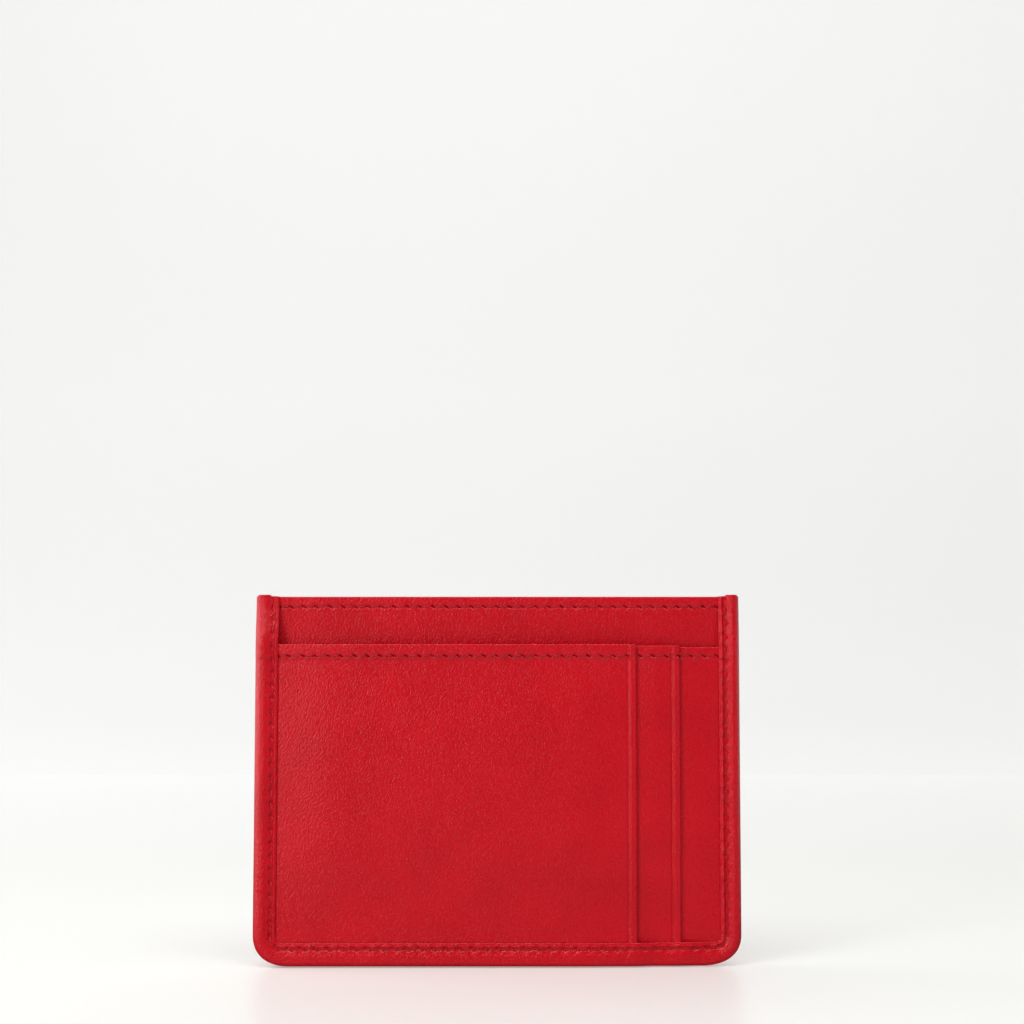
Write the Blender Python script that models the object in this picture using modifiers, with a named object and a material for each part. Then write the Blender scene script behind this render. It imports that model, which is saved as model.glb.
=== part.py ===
"""A slim leather card holder that stands on its narrow bottom edge.

Lengths are in millimetres and become metres where a mesh or curve is made. +X is to the right as the
pocket side is seen, +Z is up, -Y is the pocket side and +Y the plain side. The origin is under the
middle of the bottom edge.
"""

import math

import bmesh
import bpy

MM = 0.001

# The outline, seen from the pocket side
WIDTH = 100.0
HEIGHT = 75.4
BINDING_TOP = HEIGHT + 0.5
CORNER_ACROSS = 6.8
CORNER_UP = 6.0
CORNER_STEPS = 5

# The binding: one strip of leather folded round the left, bottom and right edges
LIP_SIDE = 4.5
LIP_BOTTOM = 5.0
LIP_CORNER = 1.5
LIP_LEATHER = 0.45
EDGE_ROLL = 1.0
ROLL_STEPS = 3
FIT_GAP = 0.15

# The layers
GLUE_LINE = 0.04
POCKET_LEATHER = 0.38
PANEL_LEATHER = 0.40
LINING_CLOTH = 0.10
STIFFENER_BOARD = 0.25
CARD_ROOM = 0.80

# Where the free edges of the three pocket layers run
FRONT_MOUTH = 28.2
MIDDLE_MOUTH = 37.2
FRONT_TOP = 65.6
MIDDLE_TOP = 65.3
SLIP_TOP = 65.0
MOUTH_CREASE = 1.6
CREASE_WIDTH = 0.25
CREASE_DEPTH = 0.10
LINING_SETBACK = 0.5
STIFFENER_SETBACK = 0.8

# Seams
THREAD_RADIUS = 0.11
GROOVE_WIDTH = 0.34
GROOVE_DEPTH = 0.25
SEAM_SIDE = 3.4
SEAM_BOTTOM = 3.65
SEAM_CORNER = 1.5
SEAM_TOP = HEIGHT - 0.8
HEM_SEAM = HEIGHT - 2.15
POCKET_SEAM = 63.15
SEAM_STRIP = 1.1

# How the binding climbs over the ends of the layers under it
RAMP_CLEAR = 0.4
RAMP_LENGTH = 5.5
LEG_RAMP_TOP = HEIGHT - 1.0

# From the pocket side to the plain side: layer, thickness, and the space behind it
LAYERS = (
    ("front_lip", LIP_LEATHER, GLUE_LINE),
    ("front_slot_panel", POCKET_LEATHER, GLUE_LINE),
    ("front_slot_lining", LINING_CLOTH, CARD_ROOM),
    ("middle_slot_panel", POCKET_LEATHER, GLUE_LINE),
    ("middle_slot_lining", LINING_CLOTH, CARD_ROOM),
    ("slip_pocket_panel", POCKET_LEATHER, GLUE_LINE),
    ("slip_pocket_lining", LINING_CLOTH, CARD_ROOM),
    ("centre_panel", PANEL_LEATHER, GLUE_LINE),
    ("centre_lining", LINING_CLOTH, CARD_ROOM),
    ("outer_lining", LINING_CLOTH, GLUE_LINE),
    ("outer_stiffener", STIFFENER_BOARD, GLUE_LINE),
    ("outer_panel", PANEL_LEATHER, GLUE_LINE),
    ("back_lip", LIP_LEATHER, 0.0),
)


def layer_levels():
    """Layer name to its (front, back) place along Y, with the whole stack centred on Y = 0."""
    total = sum(thickness + space for _, thickness, space in LAYERS)
    levels = {}
    front = -total / 2
    for name, thickness, space in LAYERS:
        levels[name] = (front, front + thickness)
        front += thickness + space
    return levels


LEVEL = layer_levels()
BACK_FACE = LEVEL["back_lip"][1]


def lip_over(layer):
    """The Y of the binding's front face where its lip lies on this layer."""
    return LEVEL[layer][0] - GLUE_LINE - LIP_LEATHER


def between(value, low, high):
    return min(1.0, max(0.0, (value - low) / (high - low)))


def lip_front(x, z):
    """The Y of the binding's front face: it steps back past each mouth and again above the pockets."""
    over_front = lip_over("front_slot_panel")
    over_middle = lip_over("middle_slot_panel")
    over_slip = lip_over("slip_pocket_panel")
    over_centre = lip_over("centre_panel")
    first = FRONT_MOUTH + RAMP_CLEAR
    second = MIDDLE_MOUTH + RAMP_CLEAR
    level = over_front
    level += (over_middle - over_front) * between(x, first, first + RAMP_LENGTH)
    level += (over_slip - over_middle) * between(x, second, second + RAMP_LENGTH)
    return level + (over_centre - level) * between(z, FRONT_TOP + RAMP_CLEAR, LEG_RAMP_TOP)


# ---------------------------------------------------------------- outlines


def corner(centre_x, centre_z, across, up, start, end):
    """Points of a quarter ellipse, from the start angle to the end angle in degrees."""
    points = []
    for step in range(CORNER_STEPS + 1):
        angle = math.radians(start + (end - start) * step / CORNER_STEPS)
        points.append((centre_x + across * math.cos(angle), centre_z + up * math.sin(angle)))
    return points


def border_path(inset_side, inset_bottom, across, up, top):
    """Down the left leg, round the bottom and up the right leg, as (x, z) points.

    Every call gives the same number of points, so that two paths can be joined point to point.
    """
    side = WIDTH / 2 - inset_side
    first = FRONT_MOUTH + RAMP_CLEAR
    second = MIDDLE_MOUTH + RAMP_CLEAR
    leg = (top, LEG_RAMP_TOP, FRONT_TOP + RAMP_CLEAR)
    path = [(-side, z) for z in leg]
    path += corner(across - side, inset_bottom + up, across, up, 180, 270)
    path += [(x, inset_bottom) for x in (0, first, first + RAMP_LENGTH, second, second + RAMP_LENGTH)]
    path += corner(side - across, inset_bottom + up, across, up, 270, 360)
    path += [(side, z) for z in reversed(leg)]
    return path


def outer_edge(inset, top):
    """The holder's edge, moved inwards by the inset."""
    return border_path(inset, inset, CORNER_ACROSS - inset, CORNER_UP - inset, top)


def panel_outline(top, right=None, inset=LIP_LEATHER + FIT_GAP):
    """A panel's outline: rounded at the bottom, cut square at the top and, if given, at the right."""
    path = outer_edge(inset, top)
    side = WIDTH / 2 - inset
    foot = [p for p in path if p[1] <= CORNER_UP and (right is None or p[0] < right)]
    if right is None:
        return [(-side, top)] + foot + [(side, top)]
    return [(-side, top)] + foot + [(right, inset), (right, top)]


def cup_outline(top, inset=LIP_LEATHER + FIT_GAP):
    """A strip along the left, bottom and right margins, hidden by the binding's lips."""
    inside_x = WIDTH / 2 - LIP_SIDE - GLUE_LINE
    inside_z = LIP_BOTTOM + GLUE_LINE
    inner = [(inside_x, top), (inside_x, inside_z), (-inside_x, inside_z), (-inside_x, top)]
    return panel_outline(top, inset=inset) + inner


def bracket_outline(top, right, inset=LIP_LEATHER + FIT_GAP):
    """A strip along the left, bottom and top margins of a slot that opens to the right."""
    inside_x = LIP_SIDE + GLUE_LINE - WIDTH / 2
    inside_z = LIP_BOTTOM + GLUE_LINE
    under = POCKET_SEAM - SEAM_STRIP
    outer = panel_outline(top, right, inset)
    inner = [(right, under), (inside_x, under), (inside_x, inside_z), (right, inside_z)]
    corner_low, corner_high = outer[-2:]
    return outer[:-2] + [corner_low] + inner[::-1] + [corner_high]


# ---------------------------------------------------------------- solids


def material(name, colour, roughness):
    made = bpy.data.materials.new(name)
    made.use_nodes = True
    surface = made.node_tree.nodes["Principled BSDF"]
    surface.inputs["Base Color"].default_value = (*colour, 1.0)
    surface.inputs["Roughness"].default_value = roughness
    surface.inputs["Metallic"].default_value = 0.0
    return made


def finished(bm, name, collection, surface=None, place=(0.0, 0.0, 0.0)):
    """Turns a bmesh in millimetres into an object in metres, at its place."""
    bmesh.ops.recalc_face_normals(bm, faces=bm.faces)
    bmesh.ops.scale(bm, vec=(MM, MM, MM), verts=bm.verts)
    mesh = bpy.data.meshes.new(name)
    bm.to_mesh(mesh)
    bm.free()
    made = bpy.data.objects.new(name, mesh)
    made.location = [value * MM for value in place]
    if surface:
        mesh.materials.append(surface)
    collection.objects.link(made)
    return made


def plate(name, outline, front, back, collection, surface):
    """A flat layer: the outline, given as (x, z), thickened both ways from its middle surface."""
    bm = bmesh.new()
    bm.faces.new([bm.verts.new((x, 0.0, z)) for x, z in outline])
    made = finished(bm, name, collection, surface, place=(0.0, (front + back) / 2, 0.0))
    thick = made.modifiers.new("thickness", "SOLIDIFY")
    thick.thickness = (back - front) * MM
    thick.offset = 0.0
    return made


def loft(name, loops, collection, surface=None):
    """A closed body through a row of loops that have the same number of points."""
    bm = bmesh.new()
    rings = [[bm.verts.new(point) for point in loop] for loop in loops]
    for ring, following in zip(rings, rings[1:]):
        for i in range(len(ring)):
            j = (i + 1) % len(ring)
            bm.faces.new((ring[i], ring[j], following[j], following[i]))
    bm.faces.new(rings[0])
    bm.faces.new(rings[-1])
    return finished(bm, name, collection, surface)


def cord(name, path, radius, collection, surface):
    """A round thread along (x, y, z) points."""
    curve = bpy.data.curves.new(name, "CURVE")
    curve.dimensions = "3D"
    curve.bevel_depth = radius * MM
    curve.bevel_resolution = 0
    curve.use_fill_caps = True
    spline = curve.splines.new("POLY")
    spline.points.add(len(path) - 1)
    for point, (x, y, z) in zip(spline.points, path):
        point.co = (x * MM, y * MM, z * MM, 1.0)
    curve.materials.append(surface)
    made = bpy.data.objects.new(name, curve)
    collection.objects.link(made)
    return made


def block(name, low, high, collection):
    """A box between two corners, used as a cutter."""
    bm = bmesh.new()
    bmesh.ops.create_cube(bm, size=1.0)
    bmesh.ops.scale(bm, vec=[b - a for a, b in zip(low, high)], verts=bm.verts)
    return finished(bm, name, collection, place=[(a + b) / 2 for a, b in zip(low, high)])


def cut(target, cutter):
    """Takes the cutter out of the target."""
    cutter.hide_render = True
    cutter.display_type = "WIRE"
    step = target.modifiers.new(cutter.name, "BOOLEAN")
    step.operation = "DIFFERENCE"
    step.solver = "EXACT"
    step.object = cutter


# ---------------------------------------------------------------- binding


def binding_section(outer, inner):
    """One cross-section of the binding before it is hollowed: square lips and a rolled outer edge."""
    front = lip_front(*outer)
    middle = (front + BACK_FACE) / 2
    roll = [(EDGE_ROLL, front)]
    for step in range(1, ROLL_STEPS):
        angle = math.pi / 2 * step / ROLL_STEPS
        away = EDGE_ROLL * (1 - math.sin(angle))
        roll.append((away, front + EDGE_ROLL * (1 - math.cos(angle))))
    roll.append((0.0, front + EDGE_ROLL))
    mirrored = [(away, 2 * middle - y) for away, y in reversed(roll)]
    profile = [(LIP_SIDE, front)] + roll + mirrored + [(LIP_SIDE, BACK_FACE)]
    loop = []
    for away, y in profile:
        share = away / LIP_SIDE
        x = outer[0] + (inner[0] - outer[0]) * share
        z = outer[1] + (inner[1] - outer[1]) * share
        loop.append((x, y, z))
    return loop


def box_section(outer, inner, front, back):
    """One rectangular cross-section of a cutter that follows the border."""
    return [
        (outer[0], front, outer[1]),
        (inner[0], front, inner[1]),
        (inner[0], back, inner[1]),
        (outer[0], back, outer[1]),
    ]


def add_binding(parts, cutters, leather):
    """The folded strip, hollowed for the layers and grooved for its seam on both faces."""
    outer = outer_edge(0.0, BINDING_TOP)
    inner = border_path(LIP_SIDE, LIP_BOTTOM, LIP_CORNER, LIP_CORNER, BINDING_TOP)
    binding = loft(
        "edge_binding", [binding_section(a, b) for a, b in zip(outer, inner)], parts, leather
    )

    wall = outer_edge(LIP_LEATHER, HEIGHT + GLUE_LINE)
    beyond = LIP_BOTTOM + LIP_LEATHER
    past = border_path(beyond, beyond, GLUE_LINE, GLUE_LINE, HEIGHT + GLUE_LINE)
    hollow = [
        box_section(a, b, lip_front(*a) + LIP_LEATHER, BACK_FACE - LIP_LEATHER)
        for a, b in zip(wall, past)
    ]
    cut(binding, loft("binding_hollow", hollow, cutters))

    half = GROOVE_WIDTH / 2
    out_path = seam_path(-half)
    in_path = seam_path(half)
    front_groove = [
        box_section(a, b, lip_front(*a) - LIP_LEATHER, lip_front(*a) + GROOVE_DEPTH)
        for a, b in zip(out_path, in_path)
    ]
    back_groove = [
        box_section(a, b, BACK_FACE - GROOVE_DEPTH, BACK_FACE + LIP_LEATHER)
        for a, b in zip(out_path, in_path)
    ]
    cut(binding, loft("front_seam_groove", front_groove, cutters))
    cut(binding, loft("back_seam_groove", back_groove, cutters))


def seam_path(offset, top=SEAM_TOP + THREAD_RADIUS):
    """The seam through the binding, moved inwards by the offset."""
    return border_path(
        SEAM_SIDE + offset,
        SEAM_BOTTOM + offset,
        SEAM_CORNER - offset,
        SEAM_CORNER - offset,
        top,
    )


def groove_across(panel, front_face, height, cutters):
    """A shallow seam groove across a panel's face at this height; front_face is False on the plain side."""
    front, back = LEVEL[panel.name]
    if front_face:
        depth = (front - PANEL_LEATHER, front + GROOVE_DEPTH)
    else:
        depth = (back - GROOVE_DEPTH, back + PANEL_LEATHER)
    half = GROOVE_WIDTH / 2
    low = (-WIDTH / 2, depth[0], height - half)
    high = (WIDTH / 2, depth[1], height + half)
    cut(panel, block(panel.name + "_groove", low, high, cutters))


def crease_down(panel, mouth, cutters):
    """The pressed line beside a slot's mouth, where its turned edge ends."""
    front = LEVEL[panel.name][0]
    middle = mouth - MOUTH_CREASE
    low = (middle - CREASE_WIDTH / 2, front - PANEL_LEATHER, -HEIGHT)
    high = (middle + CREASE_WIDTH / 2, front + CREASE_DEPTH, 2 * HEIGHT)
    cut(panel, block(panel.name + "_crease", low, high, cutters))


# ---------------------------------------------------------------- layers


def add_layer(name, outline, parts, surface):
    front, back = LEVEL[name]
    return plate(name, outline, front, back, parts, surface)


def add_filler(name, outline, before, behind, parts, surface):
    """A strip that fills the sewn margin between two layers and so holds their pocket open."""
    front = LEVEL[before][1] + GLUE_LINE
    back = LEVEL[behind][0] - GLUE_LINE
    return plate(name, outline, front, back, parts, surface)


def add_slots(parts, cutters, leather, lining, board):
    """The two side-opening card slots, the front one over the middle one."""
    slots = (
        ("front_slot", FRONT_MOUTH, FRONT_TOP, "middle_slot_panel"),
        ("middle_slot", MIDDLE_MOUTH, MIDDLE_TOP, "slip_pocket_panel"),
    )
    for slot, mouth, top, behind in slots:
        panel = add_layer(slot + "_panel", panel_outline(top, mouth), parts, leather)
        groove_across(panel, True, POCKET_SEAM, cutters)
        crease_down(panel, mouth, cutters)
        set_back = panel_outline(top - LINING_SETBACK, mouth - LINING_SETBACK)
        add_layer(slot + "_lining", set_back, parts, lining)
        strip = bracket_outline(SLIP_TOP - LINING_SETBACK, mouth - LINING_SETBACK)
        add_filler(slot + "_filler", strip, slot + "_lining", behind, parts, board)


def add_slip_pocket(parts, cutters, leather, lining, board):
    """The pocket layer that runs from border to border and opens upwards."""
    panel = add_layer("slip_pocket_panel", panel_outline(SLIP_TOP), parts, leather)
    groove_across(panel, True, POCKET_SEAM, cutters)
    top = SLIP_TOP - LINING_SETBACK
    add_layer("slip_pocket_lining", panel_outline(top), parts, lining)
    strip = cup_outline(top)
    add_filler("slip_pocket_filler", strip, "slip_pocket_lining", "centre_panel", parts, board)


def add_main_pocket(parts, cutters, leather, lining, board):
    """The centre panel, the plain outer panel and the pocket between them, open at the top."""
    centre = add_layer("centre_panel", panel_outline(HEIGHT), parts, leather)
    groove_across(centre, True, HEM_SEAM, cutters)
    outer = add_layer("outer_panel", panel_outline(HEIGHT), parts, leather)
    groove_across(outer, False, HEM_SEAM, cutters)
    top = HEIGHT - LINING_SETBACK
    add_layer("centre_lining", panel_outline(top), parts, lining)
    add_layer("outer_lining", panel_outline(top), parts, lining)
    inset = LIP_LEATHER + FIT_GAP + STIFFENER_SETBACK
    add_layer("outer_stiffener", panel_outline(top, inset=inset), parts, board)
    add_filler("main_pocket_filler", cup_outline(top), "centre_lining", "outer_lining", parts, board)


# ---------------------------------------------------------------- seams


def add_border_seam(parts, thread):
    """The seam that closes the binding: one thread on the pocket side, one on the plain side."""
    bed = GROOVE_DEPTH - GLUE_LINE / 2 - THREAD_RADIUS
    path = seam_path(0.0, SEAM_TOP)
    front = [(x, lip_front(x, z) + bed, z) for x, z in path]
    back = [(x, BACK_FACE - bed, z) for x, z in path]
    cord("border_needle_thread", front, THREAD_RADIUS, parts, thread)
    cord("border_bobbin_thread", back, THREAD_RADIUS, parts, thread)


def straight_seam(name, y, height, parts, thread):
    reach = WIDTH / 2 - LIP_SIDE - FIT_GAP
    path = [(-reach, y, height), (reach, y, height)]
    cord(name, path, THREAD_RADIUS, parts, thread)


def add_hem_seams(parts, thread):
    """The seams along the top of the centre panel and of the outer panel."""
    bed = GROOVE_DEPTH - GLUE_LINE / 2 - THREAD_RADIUS
    clear = GLUE_LINE + THREAD_RADIUS
    centre_front = LEVEL["centre_panel"][0]
    centre_inside = LEVEL["centre_lining"][1]
    outer_back = LEVEL["outer_panel"][1]
    outer_inside = LEVEL["outer_lining"][0]
    straight_seam("centre_hem_needle_thread", centre_front + bed, HEM_SEAM, parts, thread)
    straight_seam("centre_hem_bobbin_thread", centre_inside + clear, HEM_SEAM, parts, thread)
    straight_seam("outer_hem_needle_thread", outer_back - bed, HEM_SEAM, parts, thread)
    straight_seam("outer_hem_bobbin_thread", outer_inside - clear, HEM_SEAM, parts, thread)


def add_pocket_seam(parts, thread):
    """The seam across all three pocket layers: its needle thread steps down at each mouth."""
    bed = GROOVE_DEPTH - GLUE_LINE / 2 - THREAD_RADIUS
    reach = WIDTH / 2 - LIP_SIDE - FIT_GAP
    over_front, over_middle, over_slip = (
        LEVEL[name][0] + bed
        for name in ("front_slot_panel", "middle_slot_panel", "slip_pocket_panel")
    )
    path = [(-reach, over_front, POCKET_SEAM)]
    path.append((FRONT_MOUTH + RAMP_CLEAR, over_front, POCKET_SEAM))
    path.append((FRONT_MOUTH + RAMP_CLEAR, over_middle, POCKET_SEAM))
    path.append((MIDDLE_MOUTH + RAMP_CLEAR, over_middle, POCKET_SEAM))
    path.append((MIDDLE_MOUTH + RAMP_CLEAR, over_slip, POCKET_SEAM))
    path.append((reach, over_slip, POCKET_SEAM))
    cord("pocket_needle_thread", path, THREAD_RADIUS, parts, thread)
    inside = LEVEL["slip_pocket_lining"][1] + GLUE_LINE + THREAD_RADIUS
    straight_seam("pocket_bobbin_thread", inside, POCKET_SEAM, parts, thread)


# ---------------------------------------------------------------- the card holder


def clear_scene():
    for old in list(bpy.data.objects):
        bpy.data.objects.remove(old)


def new_collection(name):
    made = bpy.data.collections.new(name)
    bpy.context.scene.collection.children.link(made)
    return made


def build():
    clear_scene()
    parts = new_collection("card_holder")
    cutters = new_collection("cutters")
    leather = material("red_leather", (0.54, 0.012, 0.022), 0.48)
    lining = material("lining_cloth", (0.30, 0.016, 0.024), 0.85)
    board = material("bonded_board", (0.42, 0.30, 0.22), 0.80)
    thread = material("red_thread", (0.38, 0.010, 0.018), 0.60)
    add_binding(parts, cutters, leather)
    add_slots(parts, cutters, leather, lining, board)
    add_slip_pocket(parts, cutters, leather, lining, board)
    add_main_pocket(parts, cutters, leather, lining, board)
    add_border_seam(parts, thread)
    add_hem_seams(parts, thread)
    add_pocket_seam(parts, thread)


build()
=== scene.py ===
"""The looks of the leather card holder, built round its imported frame.

Lengths are in millimetres in this script's own functions and become metres where a mesh is made. The
frame has +X to the right as the pocket side is seen, +Z up and -Y out of the pocket side. Every level and
free edge is read from the frame's nodes; the leather is then let down where it is sewn and bowed
between its seams.
"""

import math

import bmesh
import bpy
import numpy as np
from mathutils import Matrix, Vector


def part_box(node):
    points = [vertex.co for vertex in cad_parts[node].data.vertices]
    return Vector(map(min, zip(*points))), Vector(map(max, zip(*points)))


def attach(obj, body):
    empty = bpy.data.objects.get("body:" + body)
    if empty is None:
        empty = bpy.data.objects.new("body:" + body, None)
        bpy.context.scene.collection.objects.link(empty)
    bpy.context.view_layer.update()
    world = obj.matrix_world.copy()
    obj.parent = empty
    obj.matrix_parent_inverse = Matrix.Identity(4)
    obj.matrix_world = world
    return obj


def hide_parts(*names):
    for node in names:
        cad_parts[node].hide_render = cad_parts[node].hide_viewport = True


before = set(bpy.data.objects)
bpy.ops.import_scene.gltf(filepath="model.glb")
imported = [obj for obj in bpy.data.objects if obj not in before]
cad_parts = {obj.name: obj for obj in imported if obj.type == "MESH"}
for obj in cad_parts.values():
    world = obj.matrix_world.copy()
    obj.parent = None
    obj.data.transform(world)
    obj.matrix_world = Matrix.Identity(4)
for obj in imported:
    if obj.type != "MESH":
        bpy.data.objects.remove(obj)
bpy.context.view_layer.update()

MM = 0.001


def node_box(node):
    """A CAD node's lowest and highest corner, in millimetres."""
    low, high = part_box(node)
    return np.array(low) / MM, np.array(high) / MM


# ---- sizes read from the frame

BINDING_HIGH = node_box("edge_binding")[1]
HALF_WIDTH = BINDING_HIGH[0]
EAR_TOP = BINDING_HIGH[2]
TOP = node_box("centre_panel")[1][2]
FRONT_MOUTH = node_box("front_slot_panel")[1][0]
MIDDLE_MOUTH = node_box("middle_slot_panel")[1][0]
FRONT_TOP = node_box("front_slot_panel")[1][2]
MIDDLE_TOP = node_box("middle_slot_panel")[1][2]
SLIP_TOP = node_box("slip_pocket_panel")[1][2]
POCKET_SEAM = sum(node_box("pocket_bobbin_thread"))[2] / 2
HEM_SEAM = sum(node_box("centre_hem_needle_thread"))[2] / 2
STITCHED_HALF = node_box("centre_hem_needle_thread")[1][0]
OUTER_BACK = node_box("outer_panel")[1][1]


def thickness_of(node):
    low, high = node_box(node)
    return high[1] - low[1]


POCKET_LEATHER = thickness_of("front_slot_panel")
PANEL_LEATHER = thickness_of("centre_panel")
LINING = thickness_of("centre_lining")
BOARD = thickness_of("outer_stiffener")
GLUE = node_box("front_slot_lining")[0][1] - node_box("front_slot_panel")[1][1]

# ---- how the leather lies

# The binding: its lips' widths, its corners' radii across and up, its seam's place as a share of the lip
# from the outer edge, how far in the rolled edge (the nose) is full height, and its heights over the lip.
# Three values together are for the left, the foot and the right
LIP_LEFT = 4.90
LIP_RIGHT = 4.40
LIP_FOOT = 5.0
LIP_LEATHER = 0.32
LIP_CORNER = 1.3
LEFT_CORNER = (7.6, 6.6)
RIGHT_CORNER = (8.4, 6.5)
CORNER_POWER = 2.35
SEAM_SHARES = (0.785, 0.755, 0.71)
NOSES = (1.75, 1.0, 1.2)
NOSE_POWER = 1.65
NOSE_SHARE = 0.36
STITCHED_SHARES = (0.57, 0.93)
LIP_EDGE_SHARE = 0.045
LIP_ROUND = 0.2
FRONT_CROWN = 0.50
FOOT_CROWN = 0.26
BACK_CROWN = 0.32
CROWN_START = 0.25
CROWN_RUN = 1.35
VALLEY_DEPTH = 0.16
VALLEY_WIDTH = 0.40
FOOT_VALLEY = 0.05
HEM_VALLEY = 0.05
LIP_RIDGE = 0.17
RIDGE_OUT = 0.55
RIDGE_WIDTH = 0.27
STITCHES_REACH = 2.2
STEP_RUN = 6.0

# Its two top ends stand over the panels between these shares of the lip, from this far up a leg
EAR_DOME = 0.12
EAR_SHARES = (0.02, 0.56)
EAR_SOFT = 0.12
EAR_START = 0.93

# Sewn margins are pressed together; free leather bows. A pocket beside another's mouth is pressed back by
# a depth, over a run
SEWN_GAP = 0.42
MAIN_RISE = 0.30
SLIP_RISE = 1.25
SLOT_RISE = 0.12
PINCHED_GAP = 0.26
PINCH_START = 0.4
PINCH_RUN = 18.0
MOUTH_GAP = 0.09
SIDE_SLOPE = 9.5
SIDE_ROUND = 1.6
SIDE_BOW = 16.0
BOW_POWER = 2.2
STEADY_SHARE = 0.90
GENTLE_RUN = 45.0
FOOT_BOW = 24.0
MOUTH_SHARE = 0.82
MOUTH_RUN = 30.0
SLOT_MOUTH_RUN = 12.0
PRESSED_START = 0.5
BEHIND_FRONT = (0.30, 6.0)
BEHIND_MIDDLE = (0.22, 5.0)
BACK_SETTLE = 0.25
BACK_BOW = 0.15

# How much of the layers the binding hides beyond the panels, and half of what it leaves
HIDDEN_MARGIN = 2.5
PANEL_HALF = HALF_WIDTH - HIDDEN_MARGIN

# Folded edges: extra thickness, the radius they curve back over, and the pressed line's place and shape.
# A swell is the height, place below the edge and width of the fullness along a folded top
TURN = 0.22
TURN_RUN = 0.8
MOUTH_TURN_RUN = 0.5
HEM_FOLD = 4.5
HEM_TURN = 0.2
EDGE_ROUND = 0.22
CENTRE_ROUND = 0.28
OUTER_ROUND = 0.2
TURNED_RISE = 0.13
CREASE_IN = 1.30
CREASE_DEPTH = 0.10
CREASE_WIDTH = 0.22
FOLD_OUT = 0.22
TOP_TURN = 3.0
POCKET_SWELL = (0.05, 1.0, 0.7)
CENTRE_SWELL = (0.07, 1.1, 0.8)
OUTER_SWELL = (0.06, 1.1, 0.8)

# Gentle waves in the leather: sizes and heights
LONG_WAVE = 7.0
SHORT_WAVE = 2.6
POCKET_WAVE = 0.035
PANEL_WAVE = 0.05

# How far linings, board and fillers stop inside the panel's hidden edge, its mouth or its top
MARGIN_CLEAR = 0.3
BOARD_CLEAR = 0.5
LINING_FROM_MOUTH = 4.0
LINING_FROM_TOP = 3.2
LINING_FROM_HEM = 0.6
BOARD_FROM_TOP = 0.8

# Fillers: steps along each run, room left on both faces and outside the lip, and how short they stop
FILLER_STEPS = 40
FILLER_CLEAR = 0.03
LIP_CLEAR = 0.1
SHORT_OF_MOUTH = 12.5
SHORT_OF_SEAM = 8.0
SHORT_OF_POCKET_TOP = 4.5
SHORT_OF_TOP = 3.5

# Mesh spacings: across a stitched panel, across a mouth's fold, up free leather, a seam and a hem, and
# over linings and board
ACROSS = 0.17
ACROSS_FOLD = 0.07
UP_FREE = 1.5
UP_SEWN = 0.1
UP_HEM = 0.25
FOLD_ZONE = 2.4
ROUNDED_ZONE = 0.3
LINING_STEP = 0.8
BOARD_STEP = 1.0

# Stitches
STITCH = 2.65
SEAM_GROOVE = 0.42
SEED = 11
SHIFT_SPREAD = 0.05
DRIFT_SPREAD = 0.04
HOLE_DEPTH = 0.55
HOLE_DEPTH_SHARES = (0.75, 1.15)
PUFF_OUT = 0.52
PUFF_WIDTH = 0.27
PUFF_AT_HOLE = 0.2
PUCKER_WIDTH = 0.9

# Threads: where they dive as a share of a hole and of a stitch, how deep they lie, dive and lift
THREAD_RADIUS = 0.095
THREAD_TIP = 0.55
THREAD_END = 0.6
DIVE_SHARE = 0.22
THREAD_SUNK = 0.10
THREAD_DIVE = 0.30
HEM_LIFT = 0.07
BORDER_LIFT = 0.05

# Half the length of a hole along and across the seam, and its width; how far the leather puffs beside it
HEM_HOLE = (0.36, 0.19, 0.13)
BORDER_HOLE = (0.34, 0.25, 0.20)
HEM_PUFF = 0.045
BORDER_PUFF = 0.09
HEM_SPAN = 2 * STITCHED_HALF


def ease(t):
    """0 to 1 with a level start and a level end."""
    t = np.clip(t, 0.0, 1.0)
    return t * t * (3.0 - 2.0 * t)


def bow(t):
    """0 to 1, steep where it leaves the seam and level at the end."""
    t = np.clip(t, 0.0, 1.0)
    return 1.0 - (1.0 - t) ** BOW_POWER


def bump(distance, width):
    return np.exp(-((distance / width) ** 2))


def soft_noise(x, z, size, seed):
    """Smooth random heights between -1 and 1 on a lattice of this size."""
    cells = 64
    table = np.random.default_rng(seed).uniform(-1.0, 1.0, (cells, cells))
    u, v = np.broadcast_arrays(np.asarray(x) / size + 31.0, np.asarray(z) / size + 17.0)
    column = np.floor(u).astype(int)
    row = np.floor(v).astype(int)
    across = ease(u - column)
    up = ease(v - row)
    a = table[row % cells, column % cells]
    b = table[row % cells, (column + 1) % cells]
    c = table[(row + 1) % cells, column % cells]
    d = table[(row + 1) % cells, (column + 1) % cells]
    return (a * (1 - across) + b * across) * (1 - up) + (c * (1 - across) + d * across) * up


# ---- where each layer lies


def from_left(x):
    """Rises from the left seam at a steady slope, rounds over, and goes on rising a little."""
    away = np.maximum(x + HALF_WIDTH - LIP_LEFT, 0.0)
    whole = np.logaddexp(0.0, SIDE_SLOPE / SIDE_ROUND)
    steady = 1.0 - np.logaddexp(0.0, (SIDE_SLOPE - away) / SIDE_ROUND) / whole
    gentle = 1 - (1 - np.minimum(away / GENTLE_RUN, 1.0)) ** 2
    return STEADY_SHARE * steady + (1 - STEADY_SHARE) * gentle


def from_right(x):
    return bow((HALF_WIDTH - LIP_RIGHT - x) / SIDE_BOW)


def from_foot(z):
    return ease((z - LIP_FOOT) / FOOT_BOW)


def open_top(z, top):
    """A pocket's open mouth lies closer than its middle."""
    return MOUTH_SHARE + (1 - MOUTH_SHARE) * ease((top - z) / MOUTH_RUN)


def pocket_bow(x, z, top):
    return from_left(x) * from_right(x) * from_foot(z) * open_top(z, top)


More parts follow.
